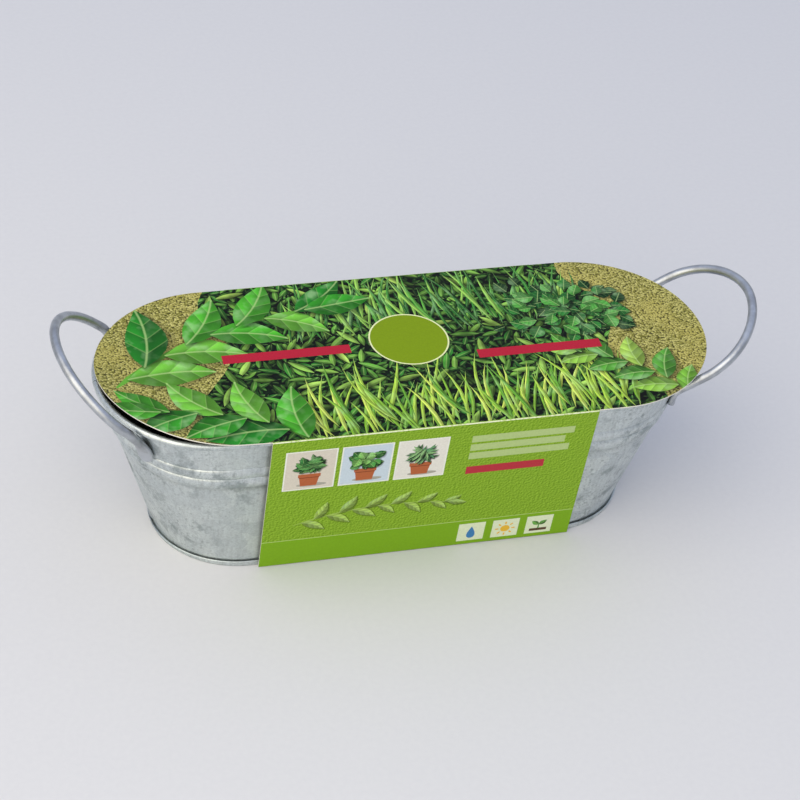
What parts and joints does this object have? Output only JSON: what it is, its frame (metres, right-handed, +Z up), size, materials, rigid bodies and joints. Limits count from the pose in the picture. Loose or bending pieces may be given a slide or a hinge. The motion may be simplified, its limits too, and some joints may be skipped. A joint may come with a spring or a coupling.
{
  "type": "herb planter",
  "caption": "Oval zinc trough with wire loop handles, a rolled rim and a foot ring, under a printed card sleeve with fold-down panels, holding a herb sowing kit.",
  "frame": {"origin": "on the floor under the middle of the whole outline, handles included", "axes": "+X along the trough towards the lower handle, +Y to the back, +Z up"},
  "size_m": [0.3544, 0.1204, 0.1202],
  "materials": {
    "zinc_sheet": "galvanised zinc, mottled spangle",
    "steel_wire": "plain drawn wire",
    "zinc_wire": "galvanised wire, satin",
    "printed_card": "coated card printed in leaf greens",
    "panel_card": "coated card printed in lime green",
    "soil_bag_film": "filled film bag",
    "granule_bag_film": "filled clear film bag",
    "packet_paper": "sealed paper packet"
  },
  "bodies": {
    "trough": {"front_wall": "zinc_sheet", "back_wall": "zinc_sheet", "base_pan": "zinc_sheet", "rim_wire": "steel_wire", "left_handle": "zinc_wire", "right_handle": "zinc_wire", "potting_soil_bag": "soil_bag_film", "clay_granule_bag": "granule_bag_film", "seed_packet_1": "packet_paper", "seed_packet_2": "packet_paper", "seed_packet_3": "packet_paper"},
    "sleeve": {"top_card": "printed_card"},
    "front_flap": {"front_panel": "panel_card"},
    "back_flap": {"back_panel": "panel_card"}
  },
  "joints": [
    {"name": "sleeve_lift", "type": "slide", "parent": "trough", "child": "sleeve", "axis": [0, 0, 1], "range_m": [0, 0.13]},
    {"name": "front_panel_fold", "type": "hinge", "parent": "sleeve", "child": "front_flap", "pos_m": [-0.00135, -0.0599, 0.0929], "axis": [-1, 0, 0], "range_deg": [0, 60]},
    {"name": "back_panel_fold", "type": "hinge", "parent": "sleeve", "child": "back_flap", "pos_m": [-0.00135, 0.0599, 0.0929], "axis": [1, 0, 0], "range_deg": [0, 60]}
  ],
  "couplings": [
    {"joint": "front_panel_fold", "follows": "sleeve_lift", "rad_per_m": 7.854},
    {"joint": "back_panel_fold", "follows": "sleeve_lift", "rad_per_m": 7.854}
  ]
}
